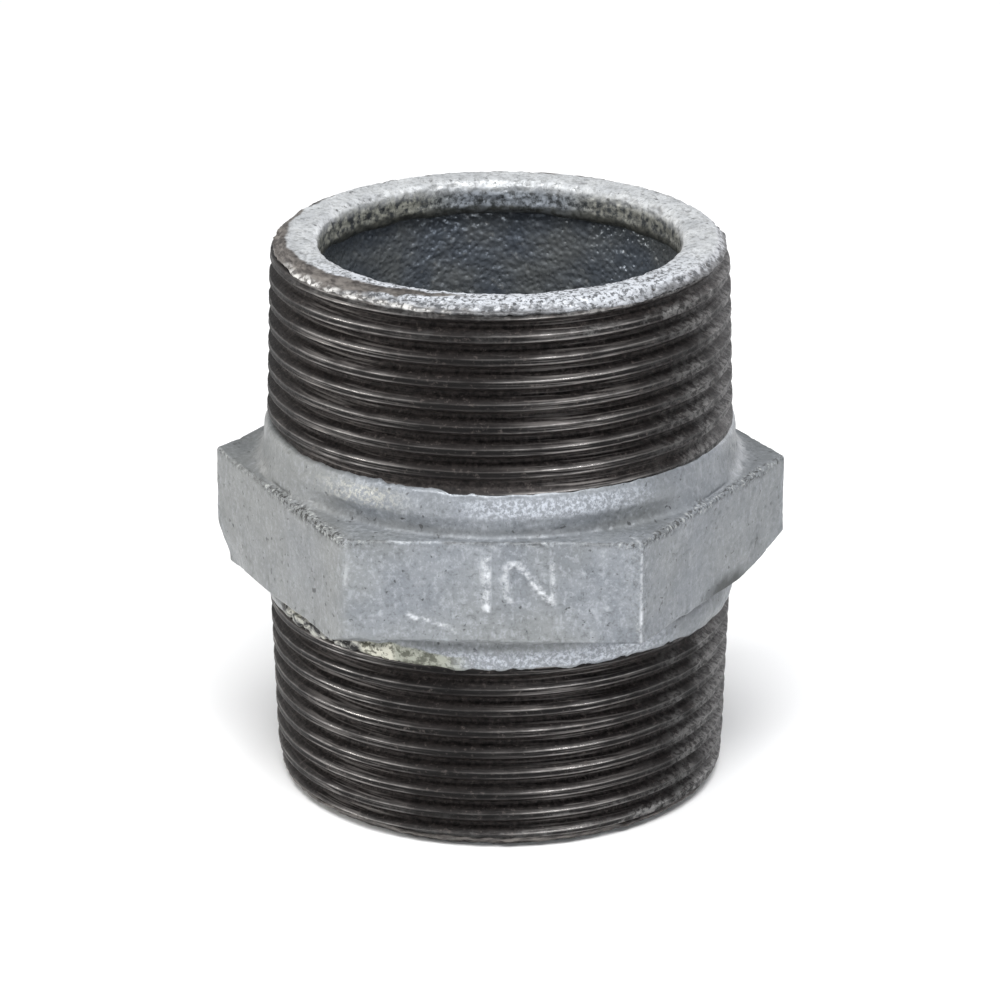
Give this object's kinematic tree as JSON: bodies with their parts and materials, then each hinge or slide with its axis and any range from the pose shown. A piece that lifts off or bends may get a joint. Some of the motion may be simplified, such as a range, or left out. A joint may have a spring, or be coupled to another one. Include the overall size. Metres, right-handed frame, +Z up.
{
  "type": "hexagon nipple",
  "caption": "Short galvanised malleable iron pipe nipple: a right-hand taper pipe thread on each end, a hexagon for the wrench between them and an open waterway.",
  "frame": {"origin": "centre of the lower end face, on the waterway's axis", "axes": "+Z up along the waterway to the upper end face; two corners of the hexagon lie on the X axis; the flat with the raised size fraction faces -Y"},
  "size_m": [0.0588, 0.0513, 0.058],
  "materials": {
    "galvanised_zinc": "hot-dip zinc over cast iron, matt blue-grey with a fine cast grain",
    "cut_thread_iron": "cut and oiled iron, near black, with bright crest edges",
    "waterway_zinc": "dark glossy zinc over a rough cored wall"
  },
  "bodies": {
    "root": {"hexagon_nipple": "galvanised_zinc"}
  },
  "joints": []
}
